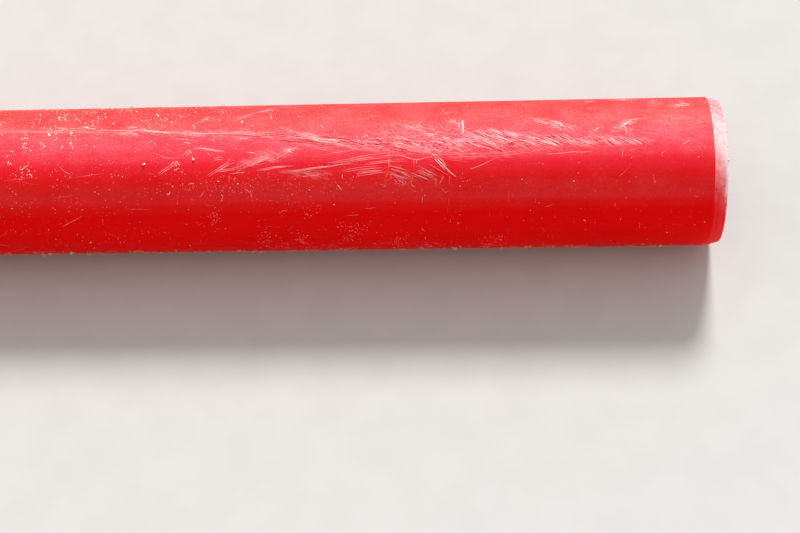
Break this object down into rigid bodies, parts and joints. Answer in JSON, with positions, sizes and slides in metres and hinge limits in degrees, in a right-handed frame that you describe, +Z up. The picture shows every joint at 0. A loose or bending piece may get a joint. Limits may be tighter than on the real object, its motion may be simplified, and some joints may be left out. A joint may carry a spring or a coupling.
{
  "type": "plastic drain pipe",
  "caption": "Smooth red plastic drain pipe: a plain straight length with a bevelled spigot end that slides into the socket of the next pipe.",
  "frame": {"origin": "under the middle of the pipe's length, on the plane that the pipe lies on", "axes": "+X along the pipe's axis towards the bevelled spigot end, +Y across it, +Z up"},
  "size_m": [1, 0.11, 0.11],
  "materials": {
    "red_plastic": "extruded plastic, satin, scratched and dusty"
  },
  "bodies": {
    "root": {"pipe": "red_plastic"}
  },
  "joints": []
}
